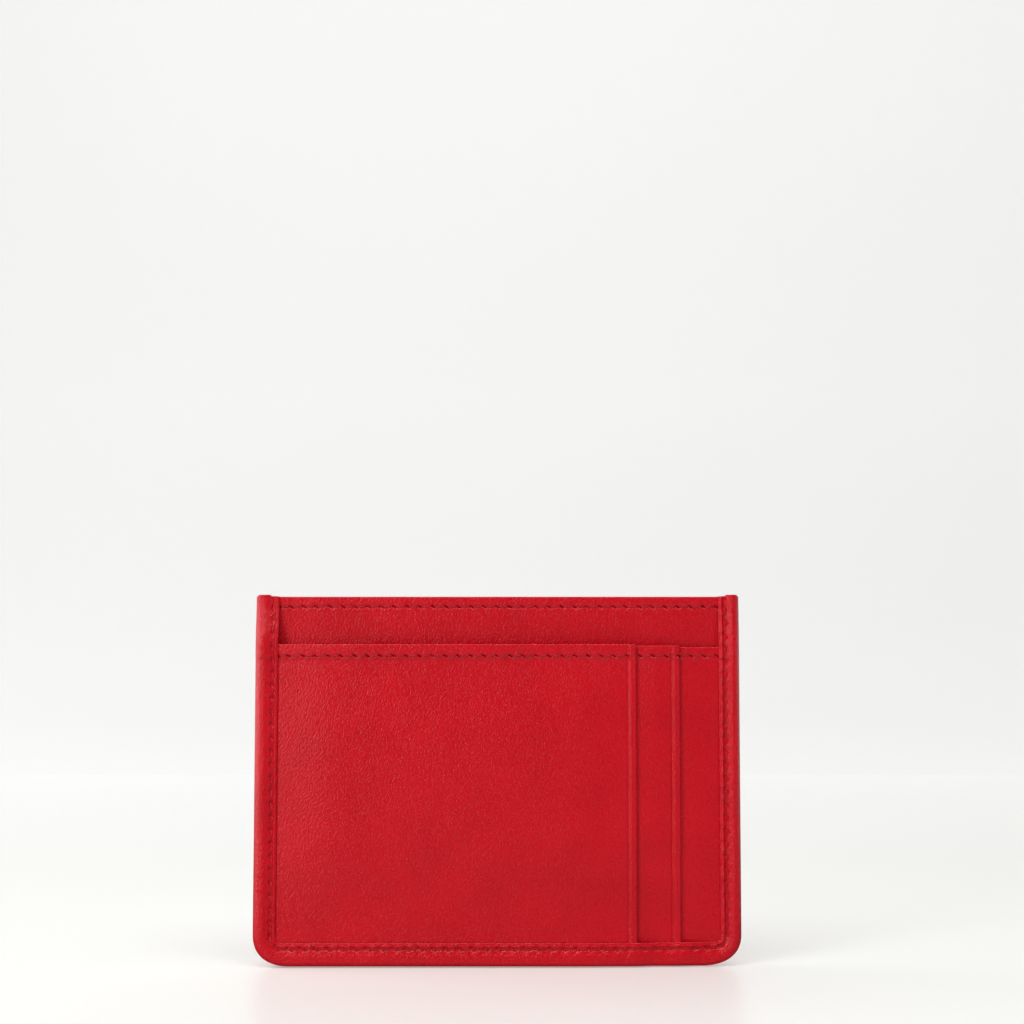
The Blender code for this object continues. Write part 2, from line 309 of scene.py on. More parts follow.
def slot_gap(x, z, mouth):
    """The space in a side-opening slot: pinched at the pocket seam, shut at its mouth."""
    opened = SEWN_GAP + SLOT_RISE * from_left(x) * from_foot(z)
    opened = MOUTH_GAP + (opened - MOUTH_GAP) * ease((mouth - x) / SLOT_MOUTH_RUN)
    pinched = np.minimum(PINCHED_GAP, opened)
    return pinched + (opened - pinched) * ease((POCKET_SEAM - PINCH_START - z) / PINCH_RUN)


def behind_leather(x, z, mouth, top):
    """What lies glued behind a pocket's leather: its lining, or its own edge turned under."""
    turned = ease((TOP_TURN - (top - z)) / TURN_RUN)
    if mouth is not None:
        turned = np.maximum(turned, ease((CREASE_IN - (mouth - x)) / MOUTH_TURN_RUN))
    lined = LINING + GLUE
    return lined + (TURN + GLUE / 2 - lined) * turned


def pressed_back(x, z, mouth, pressed):
    """How far a pocket lies back under the pocket before it: a depth, and its run past that one's mouth."""
    depth, run = pressed
    return depth * (1 - ease((x - mouth + PRESSED_START) / run)) * from_foot(z)


def outer_back(x, z):
    settled = OUTER_BACK - BACK_SETTLE
    return settled + (BACK_SETTLE + BACK_BOW) * pocket_bow(x, z, TOP)


def outer_inside(x, z):
    """The pocket-side face of the outer lining."""
    return outer_back(x, z) - PANEL_LEATHER - BOARD - LINING - 2 * GLUE


def centre_front(x, z):
    gap = SEWN_GAP + MAIN_RISE * pocket_bow(x, z, TOP)
    return outer_inside(x, z) - gap - LINING - GLUE - PANEL_LEATHER


def slip_front(x, z):
    gap = SEWN_GAP + SLIP_RISE * pocket_bow(x, z, SLIP_TOP)
    pressed = pressed_back(x, z, MIDDLE_MOUTH, BEHIND_MIDDLE)
    return centre_front(x, z) - gap - behind_leather(x, z, None, SLIP_TOP) - POCKET_LEATHER + pressed


def middle_front(x, z):
    pressed = pressed_back(x, z, FRONT_MOUTH, BEHIND_FRONT)
    behind = slot_gap(x, z, MIDDLE_MOUTH) + behind_leather(x, z, MIDDLE_MOUTH, MIDDLE_TOP)
    return slip_front(x, z) - behind - POCKET_LEATHER + pressed


def front_front(x, z):
    behind = slot_gap(x, z, FRONT_MOUTH) + behind_leather(x, z, FRONT_MOUTH, FRONT_TOP)
    return middle_front(x, z) - behind - POCKET_LEATHER


# ---- stitches in leather


class Seam:
    """A row of lockstitches: holes cut on the slant, with thread lying from each to the next.

    Along the seam runs s and across it runs v. slope is the slant of the holes.
    """

    def __init__(self, length, hole, puff, seed):
        self.count = max(2, round(length / STITCH))
        self.pitch = length / self.count
        rng = np.random.default_rng(SEED + seed)
        holes = self.count + 3
        self.shift = rng.normal(0.0, SHIFT_SPREAD, holes)
        self.drift = rng.normal(0.0, DRIFT_SPREAD, holes)
        self.depth = HOLE_DEPTH * rng.uniform(*HOLE_DEPTH_SHARES, holes)
        self.half_long, self.half_across, self.hole_width = hole
        self.puff = puff

    def hole(self, k):
        return k * self.pitch + self.shift[k], self.drift[k]

    def relief(self, s, v, slope, valley, width):
        """Height of the leather's face against an unsewn one; negative is sunk."""
        k = np.clip(np.round(s / self.pitch).astype(int), 0, self.count)
        along = s - k * self.pitch - self.shift[k]
        across = v - self.drift[k]
        a = self.half_long
        b = self.half_across * slope
        t = np.clip((along * a + across * b) / (a * a + b * b), -1.0, 1.0)
        away = np.hypot(along - t * a, across - t * b)
        share = np.abs(along) / (self.pitch / 2)
        fullness = PUFF_AT_HOLE + (1 - PUFF_AT_HOLE) * ease(share)
        puff = self.puff * bump(np.abs(v) - PUFF_OUT, PUFF_WIDTH) * fullness
        pucker = -self.puff * bump(v, PUCKER_WIDTH) * (1 - ease(share))
        hole = -self.depth[k] * bump(away, self.hole_width)
        return -valley * bump(v, width) + puff + pucker + hole

    def threads(self):
        """Each visible stitch as its two ends (s, v) for a slope of 1, from hole to hole."""
        for k in range(self.count):
            s0, v0 = self.hole(k)
            s1, v1 = self.hole(k + 1)
            start = (s0 + THREAD_END * self.half_long, v0 + self.half_across)
            yield start, (s1 - THREAD_END * self.half_long, v1 - self.half_across)


# ---- meshes


def new_object(name, vertices, faces, surface, smooth=True):
    """A mesh object from millimetres, riding on the holder."""
    mesh = bpy.data.meshes.new(name)
    mesh.from_pydata((np.asarray(vertices) * MM).tolist(), [], [list(map(int, f)) for f in faces])
    mesh.validate()
    bm = bmesh.new()
    bm.from_mesh(mesh)
    bmesh.ops.recalc_face_normals(bm, faces=bm.faces)
    bm.to_mesh(mesh)
    bm.free()
    if smooth:
        mesh.shade_smooth()
    mesh.materials.append(surface)
    made = bpy.data.objects.new(name, mesh)
    bpy.context.scene.collection.objects.link(made)
    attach(made, "root")
    return made


def grid_faces(rows, columns, start=0, wrap=False):
    """Quads over a grid of vertices stored row by row; wrap joins the last column to the first."""
    r, c = np.meshgrid(np.arange(rows - 1), np.arange(columns if wrap else columns - 1), indexing="ij")
    following = (c + 1) % columns
    a = start + r * columns + c
    b = start + r * columns + following
    d = start + (r + 1) * columns + c
    e = start + (r + 1) * columns + following
    return np.stack([a, b, e, d], -1).reshape(-1, 4)


def sheet(name, xs, zs, front, back, surface):
    """A closed sheet over grid lines, given the Y of both faces at every crossing."""
    x, z = np.meshgrid(xs, zs)
    rows, columns = x.shape
    face = np.stack([x, front, z], -1).reshape(-1, 3)
    rear = np.stack([x, back, z], -1).reshape(-1, 3)
    count = rows * columns
    faces = list(grid_faces(rows, columns)) + list(grid_faces(rows, columns, count)[:, ::-1])
    index = np.arange(count).reshape(rows, columns)
    rim = np.concatenate([index[0], index[1:, -1], index[-1, -2::-1], index[-2:0:-1, 0]])
    around = np.roll(rim, -1)
    faces += list(np.stack([around, rim, rim + count, around + count], -1))
    return new_object(name, np.concatenate([face, rear]), faces, surface)


def lines(start, end, spacing):
    return np.linspace(start, end, max(2, int(round((end - start) / spacing)) + 1))


def rounded_end(end, radius, steps=5):
    """Grid lines that close up towards a rounded edge at the end."""
    return [end - radius * (1 - math.sin(math.pi / 2 * i / steps)) for i in range(1, steps + 1)]


def merged(*groups):
    return np.unique(np.round(np.concatenate([np.atleast_1d(g) for g in groups]), 4))


def edge_round(distance, radius):
    """How far a face has curved back at this distance from a folded edge."""
    inside = np.clip(radius - distance, 0.0, radius)
    return 0.9 * (radius - np.sqrt(radius**2 - inside**2))


# ---- node materials


def new_material(name):
    made = bpy.data.materials.new(name)
    made.use_nodes = True
    tree = made.node_tree
    surface = tree.nodes["Principled BSDF"]
    return made, tree, surface


def add_node(tree, kind, **values):
    node = tree.nodes.new("ShaderNode" + kind)
    for key, value in values.items():
        if key in node.inputs:
            node.inputs[key].default_value = value
        else:
            setattr(node, key, value)
    return node


def mapped(tree, cell, turn=0.0):
    """Object coordinates measured in cells of this size in metres, turned about Y first."""
    where = add_node(tree, "TexCoord")
    stretch = add_node(tree, "Mapping", vector_type="TEXTURE")
    stretch.inputs["Rotation"].default_value = (0.0, turn, 0.0)
    stretch.inputs["Scale"].default_value = cell
    tree.links.new(where.outputs["Object"], stretch.inputs["Vector"])
    return stretch.outputs["Vector"]


def ranged(tree, value, low, high, from_low=0.0, from_high=1.0):
    node = add_node(tree, "MapRange")
    node.inputs["From Min"].default_value = from_low
    node.inputs["From Max"].default_value = from_high
    node.inputs["To Min"].default_value = low
    node.inputs["To Max"].default_value = high
    tree.links.new(value, node.inputs["Value"])
    return node.outputs["Result"]


def combined(tree, operation, a, b):
    node = add_node(tree, "Math", operation=operation)
    for socket, value in zip(node.inputs, (a, b)):
        if isinstance(value, (int, float)):
            socket.default_value = value
        else:
            tree.links.new(value, socket)
    return node.outputs[0]


def mixed(tree, share, first, second):
    node = add_node(tree, "Mix", data_type="RGBA")
    tree.links.new(share, node.inputs["Factor"])
    for socket, colour in ((node.inputs["A"], first), (node.inputs["B"], second)):
        if isinstance(colour, tuple):
            socket.default_value = (*colour, 1.0)
        else:
            tree.links.new(colour, socket)
    return node.outputs["Result"]


def texture(tree, kind, position, **values):
    """A texture node that reads these coordinates."""
    node = add_node(tree, "Tex" + kind, **values)
    tree.links.new(position, node.inputs["Vector"])
    return node


def emboss(tree, surface, height, strength, distance):
    """Bump the surface by this height."""
    relief = add_node(tree, "Bump", Strength=strength, Distance=distance)
    tree.links.new(height, relief.inputs["Height"])
    tree.links.new(relief.outputs["Normal"], surface.inputs["Normal"])


# The leather's colours and roughness, and its grain: turn, cell in millimetres, height in metres, how far
# its cells are bent, and the shares of fine noise and veins
DEEP_RED = (0.532, 0.0006, 0.0085)
LIGHT_RED = (0.644, 0.0016, 0.0120)
LEATHER_ROUGHNESS = (0.28, 0.37)
GRAIN_TURN = math.radians(24)
GRAIN_CELL = (0.27, 0.27, 0.46)
GRAIN_HEIGHT = 0.00007
GRAIN_WARP = 1.2
FINE_SHARE = 0.35
VEIN_SHARE = 0.5


def leather_material():
    """Smooth nappa: fine long cells of grain, pores, faint veins and cloudy dye."""
    made, tree, surface = new_material("red_leather")
    position = mapped(tree, (MM, MM, MM))
    grain_space = mapped(tree, tuple(size * MM for size in GRAIN_CELL), GRAIN_TURN)

    warp = texture(tree, "Noise", position, Scale=0.8, Detail=2.0)
    bent = add_node(tree, "VectorMath", operation="MULTIPLY_ADD")
    tree.links.new(warp.outputs["Color"], bent.inputs[0])
    bent.inputs[1].default_value = (GRAIN_WARP, GRAIN_WARP, GRAIN_WARP)
    tree.links.new(grain_space, bent.inputs[2])

    grain_look = {"feature": "SMOOTH_F1", "Scale": 0.8, "Smoothness": 0.35}
    cells = texture(tree, "Voronoi", bent.outputs[0], **grain_look)
    pebble = ranged(tree, cells.outputs["Distance"], 1.0, 0.0, 0.1, 0.8)
    fine = texture(tree, "Noise", position, Scale=6.0, Detail=2.0)
    veins = texture(tree, "Noise", position, Scale=0.45, Detail=3.0, Roughness=0.55)
    height = combined(tree, "ADD", pebble, combined(tree, "MULTIPLY", fine.outputs["Fac"], FINE_SHARE))
    height = combined(tree, "ADD", height, combined(tree, "MULTIPLY", veins.outputs["Fac"], VEIN_SHARE))
    emboss(tree, surface, height, 1.0, GRAIN_HEIGHT)

    clouds = texture(tree, "Noise", position, Scale=0.09, Detail=3.0)
    dye = ranged(tree, clouds.outputs["Fac"], 0.1, 0.6, 0.35, 0.65)
    shade = combined(tree, "ADD", dye, ranged(tree, pebble, -0.1, 0.4))
    tree.links.new(mixed(tree, shade, DEEP_RED, LIGHT_RED), surface.inputs["Base Color"])
    rough = ranged(tree, fine.outputs["Fac"], *LEATHER_ROUGHNESS, 0.3, 0.7)
    tree.links.new(rough, surface.inputs["Roughness"])
    surface.inputs["Specular IOR Level"].default_value = 0.36
    return made


def lining_material():
    """Closely woven tonal twill."""
    made, tree, surface = new_material("lining_cloth")
    position = mapped(tree, (MM, MM, MM))
    waves = []
    for direction in ("X", "Z"):
        wave_look = {"bands_direction": direction, "Scale": 1.25, "Distortion": 0.6}
        wave = texture(tree, "Wave", position, **wave_look)
        waves.append(wave.outputs["Fac"])
    weave = combined(tree, "MULTIPLY", *waves)
    emboss(tree, surface, weave, 0.5, 0.04 * MM)
    colour = mixed(tree, weave, (0.17, 0.008, 0.014), (0.33, 0.014, 0.026))
    tree.links.new(colour, surface.inputs["Base Color"])
    tree.links.new(ranged(tree, weave, 0.7, 0.9), surface.inputs["Roughness"])
    return made


def board_material():
    """Bonded leather board, brown and fibrous."""
    made, tree, surface = new_material("bonded_board")
    position = mapped(tree, (MM, MM, MM))
    fibres = texture(tree, "Noise", position, Scale=3.0, Detail=6.0, Roughness=0.7)
    colour = mixed(tree, fibres.outputs["Fac"], (0.20, 0.13, 0.09), (0.45, 0.33, 0.24))
    tree.links.new(colour, surface.inputs["Base Color"])
    emboss(tree, surface, fibres.outputs["Fac"], 0.4, 0.05 * MM)
    tree.links.new(ranged(tree, fibres.outputs["Fac"], 0.75, 0.95), surface.inputs["Roughness"])
    return made


def thread_material():
    """Twisted thread: fine slanting plies, with painted shade darkening the grooves between them."""
    made, tree, surface = new_material("red_thread")
    position = mapped(tree, (MM, MM, MM))
    ply_look = {"bands_direction": "DIAGONAL", "Scale": 1.9, "Distortion": 1.0}
    plies = texture(tree, "Wave", position, **ply_look)
    # painted shade: the thread's colour darkens in the grooves between the plies
    colour = mixed(tree, plies.outputs["Fac"], (0.24, 0.010, 0.014), (0.50, 0.030, 0.038))
    tree.links.new(colour, surface.inputs["Base Color"])
    emboss(tree, surface, plies.outputs["Fac"], 0.6, 0.04 * MM)
    tree.links.new(ranged(tree, plies.outputs["Fac"], 0.5, 0.7), surface.inputs["Roughness"])
    surface.inputs["Specular IOR Level"].default_value = 0.2
    return made


LEATHER = leather_material()
CLOTH = lining_material()
BOARD_FIBRE = board_material()
THREAD = thread_material()
SHEET_LOOKS = {"red_leather": LEATHER, "lining_cloth": CLOTH}


# ---- the binding


# Points along each leg, corner and foot
LEG_STEPS = 290
CORNER_STEPS = 40
FOOT_STEPS = 430


def corner_points(centre, radii, start, end, steps):
    """A corner a little squarer than an ellipse."""
    angle = np.radians(np.linspace(start, end, steps + 1))
    squarer = 2.0 / CORNER_POWER
    cosine = np.cos(angle)
    sine = np.sin(angle)
    x = centre[0] + radii[0] * np.sign(cosine) * np.abs(cosine) ** squarer
    z = centre[1] + radii[1] * np.sign(sine) * np.abs(sine) ** squarer
    return x, z


def border_line(inset_left, inset_right, inset_foot, left, right, top):
    """Down the left leg, round the foot and up the right leg: x, z and how far up a leg each point is."""
    left_x = inset_left - HALF_WIDTH
    right_x = HALF_WIDTH - inset_right
    left_z = inset_foot + left[1]
    right_z = inset_foot + right[1]
    up = np.linspace(1.0, 0.0, LEG_STEPS + 1)[:-1]
    left_turn = corner_points((left_x + left[0], left_z), left, 180, 270, CORNER_STEPS)
    right_turn = corner_points((right_x - right[0], right_z), right, 270, 360, CORNER_STEPS)
    foot_x = np.linspace(left_x + left[0], right_x - right[0], FOOT_STEPS + 1)[1:-1]
    legs = (np.full(LEG_STEPS, left_x), np.full(LEG_STEPS, right_x))
    x = np.concatenate([legs[0], left_turn[0], foot_x, right_turn[0], legs[1]])
    left_leg_z = left_z + (top - left_z) * up
    right_leg_z = right_z + (top - right_z) * up[::-1]
    foot_z = np.full(len(foot_x), inset_foot)
    z = np.concatenate([left_leg_z, left_turn[1], foot_z, right_turn[1], right_leg_z])
    flat = np.zeros(len(x) - 2 * LEG_STEPS)
    return x, z, np.concatenate([up, flat, up[::-1]])


def along_border(left, foot, right):
    """A value at every border point that changes only round the two corners."""
    turn = np.linspace(0.0, 1.0, CORNER_STEPS + 1)
    return np.concatenate([
        np.full(LEG_STEPS, left),
        left + (foot - left) * turn,
        np.full(FOOT_STEPS - 1, foot),
        foot + (right - foot) * turn,
        np.full(LEG_STEPS, right),
    ])


SMALL_CORNER = (LIP_CORNER, LIP_CORNER)
BRIDGE_BELOW = 0.6

# The plain side's level in the sewn margin is the same at every height
SEWN_BACK = float(outer_back(-HALF_WIDTH, TOP / 2))


def sewn_level(x, z):
    """The Y of the top layer under the binding: it steps back past each mouth and above the pockets."""
    bridge_foot = FRONT_TOP - BRIDGE_BELOW
    low = np.minimum(z, bridge_foot)
    level = front_front(np.minimum(x, FRONT_MOUTH), low)
    second = middle_front(np.minimum(x, MIDDLE_MOUTH), low)
    level = level + (second - level) * ease((x - FRONT_MOUTH) / STEP_RUN)
    level = level + (slip_front(x, low) - level) * ease((x - MIDDLE_MOUTH) / STEP_RUN)
    return level + (centre_front(x, z) - level) * ease((z - bridge_foot) / (TOP - bridge_foot))


def binding_columns():
    """Places across the binding, as a share of the way from its outer edge to its lip's inner edge."""
    nose = NOSE_SHARE * (1 - np.cos(np.linspace(0, math.pi / 2, 10)))
    roll = np.linspace(NOSE_SHARE, STITCHED_SHARES[0], 5)[1:-1]
    stitched = np.linspace(*STITCHED_SHARES, 20)
    edge = 1.0 - LIP_EDGE_SHARE * (1 - np.sin(np.linspace(0, math.pi / 2, 4)))
    return np.concatenate([nose, roll, stitched, edge])


def binding_heights(v, s, slope, seam, crown, valley):
    """The face's height over its lip at each distance v inwards from the seam, stitches included."""
    ridge = LIP_RIDGE * valley / VALLEY_DEPTH
    body = crown[:, None] * ease((-v - CROWN_START) / CROWN_RUN)
    body = body + ridge[:, None] * bump(v - RIDGE_OUT, RIDGE_WIDTH)
    sewn = seam.relief(s[:, None], v, slope[:, None], valley[:, None], VALLEY_WIDTH)
    return body + sewn * ease((v + STITCHES_REACH) / 0.8)


def leather_waviness(x, z, amount, seed):
    return amount * (soft_noise(x, z, LONG_WAVE, seed) + 0.5 * soft_noise(x, z, SHORT_WAVE, seed + 1))


class Border:
    """The binding's outer, inner and seam lines, read at any running length s along the seam."""

    def __init__(self):
        outer_x, outer_z, self.leg = border_line(0.0, 0.0, 0.0, LEFT_CORNER, RIGHT_CORNER, TOP)
        inner_x, inner_z, _ = border_line(LIP_LEFT, LIP_RIGHT, LIP_FOOT, SMALL_CORNER, SMALL_CORNER, TOP)
        self.lines = (outer_x, outer_z, inner_x, inner_z)
        self.shares = along_border(*SEAM_SHARES)
        self.crowns = along_border(FRONT_CROWN, FOOT_CROWN, FRONT_CROWN)
        self.valleys = along_border(VALLEY_DEPTH, FOOT_VALLEY, VALLEY_DEPTH)
        self.noses = along_border(*NOSES)
        x = outer_x + (inner_x - outer_x) * self.shares
        z = outer_z + (inner_z - outer_z) * self.shares
        self.s = np.concatenate([[0.0], np.cumsum(np.hypot(np.diff(x), np.diff(z)))])
        self.length = self.s[-1]
        self.seam = Seam(self.length, BORDER_HOLE, BORDER_PUFF, 1)

    def stations(self):
        """Places along the seam: close together at each hole and round both corners."""
        reach = 0.42
        least = 0.02
        near = np.linspace(-reach, reach, 7)
        rest = np.linspace(reach, self.seam.pitch - reach, 6)[1:-1]
        holes = np.arange(self.seam.count + 1) * self.seam.pitch
        s = (holes[:, None] + np.concatenate([near, rest])).ravel()
        left = self.s[LEG_STEPS : LEG_STEPS + CORNER_STEPS]
        right = self.s[-LEG_STEPS - CORNER_STEPS : -LEG_STEPS]
        s = np.concatenate([s[(s > 0) & (s < self.length)], left, right, [0.0, self.length]])
        s = np.sort(s)
        return s[np.concatenate([[True], np.diff(s) > least])]

    def at(self, s):
        """Outer x and z, inner x and z, and the height up a leg, at these places."""
        outer_x, outer_z, inner_x, inner_z = (np.interp(s, self.s, line) for line in self.lines)
        return outer_x, outer_z, inner_x, inner_z, np.interp(s, self.s, self.leg)

    def read(self, values, s):
        """One of the values kept along the border, at these places."""
        return np.interp(s, self.s, values)

    def seam_line(self, s):
        """The seam's x and z and the slope of its holes."""
        outer_x, outer_z, inner_x, inner_z, leg = self.at(s)
        share = self.read(self.shares, s)
        x = outer_x + (inner_x - outer_x) * share
        z = outer_z + (inner_z - outer_z) * share
        return x, z, np.where(leg > 0, 1.0, -1.0)


def under_lip(depth, lip, middle):
    """The inner face of the folded strip: against the layers, and drawn in where it turns."""
    drawn = 0.55 + 0.45 * ease((depth - LIP_LEATHER) / 1.2)
    return middle[:, None] + (lip - middle)[:, None] * drawn


def add_binding(border):
    """The folded leather strip: rolled edge, sewn valley and turned lips on both faces, rounded ends."""
    share = binding_columns()
    s = border.stations()
    outer_x, outer_z, inner_x, inner_z, leg = border.at(s)
    seam_x, seam_z, slope = border.seam_line(s)
    seam = border.seam
    across_x = inner_x - outer_x
    across_z = inner_z - outer_z
    width = np.hypot(across_x, across_z)[:, None]
    x = outer_x[:, None] + across_x[:, None] * share
    z = outer_z[:, None] + across_z[:, None] * share
    rise = EAR_TOP - TOP - EAR_DOME
    ear = rise * ease((share - EAR_SHARES[0]) / EAR_SOFT) * (1 - ease((share - EAR_SHARES[1]) / EAR_SOFT))
    z = z + ear[None, :] * ease((leg - EAR_START) / (1 - EAR_START))[:, None]

    lip_front = sewn_level(seam_x, seam_z) - GLUE - LIP_LEATHER
    lip_back = np.full(len(s), SEWN_BACK + GLUE + LIP_LEATHER)
    crown = border.read(border.crowns, s)
    valley = border.read(border.valleys, s)
    nose_depth = border.read(border.noses, s)[:, None]
    back_crown = crown * BACK_CROWN / FRONT_CROWN
    middle = (lip_front - crown + lip_back + back_crown) / 2

    depth = share * width
    turn = np.clip(1 - depth / nose_depth, 0, 1)
    nose = (1 - turn**NOSE_POWER) ** (1 / NOSE_POWER)
    edge = edge_round(width - depth, LIP_ROUND)

    from_seam = (share - border.read(border.shares, s)[:, None]) * width
    front_relief = binding_heights(from_seam, s, slope, seam, crown, valley)
    back_relief = binding_heights(from_seam, s, slope, seam, back_crown, valley)
    wave_front = leather_waviness(x, z, PANEL_WAVE, 3) * nose
    wave_back = leather_waviness(x, z, PANEL_WAVE, 5) * nose
    face = lip_front[:, None] - front_relief + wave_front + edge
    rear = lip_back[:, None] + back_relief + wave_back - edge
    front = middle[:, None] + (face - middle[:, None]) * nose
    back = middle[:, None] + (rear - middle[:, None]) * nose

    wall = LIP_LEATHER * 0.85
    in_depth = wall + (width - 0.04 - wall) * np.linspace(0.0, 1.0, 7)
    in_share = in_depth / width
    in_x = outer_x[:, None] + across_x[:, None] * in_share
    in_z = outer_z[:, None] + across_z[:, None] * in_share
    under_front = under_lip(in_depth, lip_front + wall, middle)
    under_back = under_lip(in_depth, lip_back - wall, middle)

    # one closed ring per station: front face inwards, under the front lip outwards, then the back
    ring_x = np.concatenate([x, in_x[:, ::-1], in_x[:, 1:], x[:, :0:-1]], 1)
    ring_z = np.concatenate([z, in_z[:, ::-1], in_z[:, 1:], z[:, :0:-1]], 1)
    ring_y = np.concatenate([front, under_front[:, ::-1], under_back[:, 1:], back[:, :0:-1]], 1)
    rings = np.stack([ring_x, ring_y, ring_z], -1)
    rings = np.concatenate([ear_end(rings[0])[::-1], rings, ear_end(rings[-1])], 0)
    count, around = rings.shape[:2]
    vertices = rings.reshape(-1, 3)
    faces = list(grid_faces(count, around, wrap=True))
    faces.append(np.arange(around))
    faces.append(np.arange((count - 1) * around, count * around)[::-1])
    made = new_object("edge_binding_leather", vertices, faces, LEATHER)
    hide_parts("edge_binding")


def ear_end(ring, steps=5, rise=EAR_DOME):
    """Rings that draw the binding's cut end in towards its middle, as its folded end does."""
    centre = ring.mean(0)
    rings = []
    for step in range(1, steps + 1):
        angle = math.pi / 2 * step / (steps + 0.3)
        drawn = centre + (ring - centre) * np.array([math.cos(angle)] * 3)
        drawn[:, 2] = ring[:, 2] + (rise + (centre[2] - ring[:, 2]) * 0.3) * math.sin(angle)
        rings.append(drawn)
    return np.array(rings)


# ---- panels


def stitched_rows(top, seam_z, low=HIDDEN_MARGIN):
    """Grid lines up a panel: wide apart, close at its seam, and closing up at its folded top."""
    return merged(
        lines(low, seam_z - 1.5, UP_FREE),
        lines(seam_z - 1.5, seam_z + 1.1, UP_SEWN),
        lines(seam_z + 1.1, top - ROUNDED_ZONE, UP_HEM),
        rounded_end(top, ROUNDED_ZONE),
    )


def add_sewn_sheet(name, node, slot, columns, rows, front, back, flat_height):
    """A sheet whose edges are held in the binding."""
    made = sheet(name, columns, rows, front, back, SHEET_LOOKS[slot])
    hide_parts(node)


def swelling(from_top, swell):
    """The fullness of a folded top, at this distance below its edge."""
    height, below, width = swell
    return height * bump(from_top - below, width)


def add_pocket_panel(name, node, mouth, top, level, seam, seed, pressed):
    """A pocket layer: folded top and mouth, pressed crease, and the pocket seam through its fold.

    pressed is how deep the crease is beside the usual one.
    """
    has_mouth = mouth is not None
    right = mouth + FOLD_OUT if has_mouth else PANEL_HALF
    columns = lines(-PANEL_HALF, right - ROUNDED_ZONE, ACROSS)
    if has_mouth:
        fold = right - FOLD_ZONE
        fine = lines(fold, right - ROUNDED_ZONE, ACROSS_FOLD)
        columns = merged(columns[columns < fold], fine, rounded_end(right, ROUNDED_ZONE))
    rows = stitched_rows(top, POCKET_SEAM)
    x, z = np.meshgrid(columns, rows)
    front = level(x, z)
    front = front - seam.relief(x + STITCHED_HALF, z - POCKET_SEAM, -1.0, HEM_VALLEY, SEAM_GROOVE)
    front = front + leather_waviness(x, z, POCKET_WAVE, seed)
    from_top = top - z
    thick = POCKET_LEATHER + TURN * ease((TOP_TURN - from_top) / TURN_RUN)
    front = front - swelling(from_top, POCKET_SWELL)
    distance = from_top
    if has_mouth:
        from_mouth = right - x
        below_seam = ease((POCKET_SEAM + 2 - z) / 1.0)
        turned = ease((CREASE_IN + 0.1 - from_mouth) / 0.45)
        crease = pressed * CREASE_DEPTH * bump(from_mouth - CREASE_IN - 0.35, CREASE_WIDTH)
        front = front - TURNED_RISE * turned + crease * below_seam
        thick = np.maximum(thick, POCKET_LEATHER + TURN * ease((CREASE_IN - from_mouth) / MOUTH_TURN_RUN))
        distance = np.minimum(distance, from_mouth)
    back = front + thick
    rounding = edge_round(distance, EDGE_ROUND)
    flat_height = rows[-1] - rows[0]
    front = front + rounding
    back = back - rounding
    add_sewn_sheet(name, node, "red_leather", columns, rows, front, back, flat_height)


def add_centre_panel(seam):
    """The panel behind the pockets: its hem is folded back and sewn."""
    columns = lines(-PANEL_HALF, PANEL_HALF, ACROSS)
    rows = stitched_rows(TOP, HEM_SEAM)
    x, z = np.meshgrid(columns, rows)
    from_top = TOP - z
    front = centre_front(x, z) + leather_waviness(x, z, PANEL_WAVE, 23)
    front = front - seam.relief(x + STITCHED_HALF, z - HEM_SEAM, -1.0, HEM_VALLEY, SEAM_GROOVE)
    front = front - swelling(from_top, CENTRE_SWELL)
    thick = PANEL_LEATHER + HEM_TURN * ease((HEM_FOLD - from_top) / TURN_RUN)
    rounding = edge_round(from_top, CENTRE_ROUND)
    back = front + thick - rounding
    front = front + rounding
    add_sewn_sheet("centre_panel_leather", "centre_panel", "red_leather", columns, rows, front, back, TOP)


def add_outer_panel(seam):
    """The plain side: one bowed panel over its stiffener, hemmed at the top."""
    columns = lines(-PANEL_HALF, PANEL_HALF, ACROSS)
    rows = stitched_rows(TOP, HEM_SEAM)
    x, z = np.meshgrid(columns, rows)
    from_top = TOP - z
    back = outer_back(x, z) + leather_waviness(x, z, PANEL_WAVE, 29)
    back = back + seam.relief(x + STITCHED_HALF, z - HEM_SEAM, -1.0, HEM_VALLEY, SEAM_GROOVE)
    back = back + swelling(from_top, OUTER_SWELL)
    rounding = edge_round(from_top, OUTER_ROUND)
    front = outer_back(x, z) - PANEL_LEATHER + rounding
    back = back - rounding
    add_sewn_sheet("outer_panel_leather", "outer_panel", "red_leather", columns, rows, front, back, TOP)


def add_lining(name, node, right, top, front_level):
    """A thin lining glued behind its panel."""
    left = -PANEL_HALF + MARGIN_CLEAR
    columns = lines(left, right, LINING_STEP)
    rows = lines(HIDDEN_MARGIN + MARGIN_CLEAR, top, LINING_STEP)
    x, z = np.meshgrid(columns, rows)
    front = front_level(x, z)
    flat_height = rows[-1] - rows[0]
    add_sewn_sheet(name, node, "lining_cloth", columns, rows, front, front + LINING, flat_height)


def add_linings():
    half = PANEL_HALF - MARGIN_CLEAR
    behind_panel = PANEL_LEATHER + GLUE + HEM_TURN
    pockets = (
        ("front_slot_lining", FRONT_MOUTH - LINING_FROM_MOUTH, FRONT_TOP, front_front),
        ("middle_slot_lining", MIDDLE_MOUTH - LINING_FROM_MOUTH, MIDDLE_TOP, middle_front),
        ("slip_pocket_lining", half, SLIP_TOP, slip_front),
    )
    for node, right, pocket_top, level in pockets:
        top = pocket_top - LINING_FROM_TOP
        add_lining(node + "_cloth", node, right, top, raised(level, POCKET_LEATHER + GLUE))
    panel_top = TOP - LINING_FROM_HEM
    add_lining("centre_lining_cloth", "centre_lining", half, panel_top, raised(centre_front, behind_panel))
    add_lining("outer_lining_cloth", "outer_lining", half, panel_top, outer_inside)


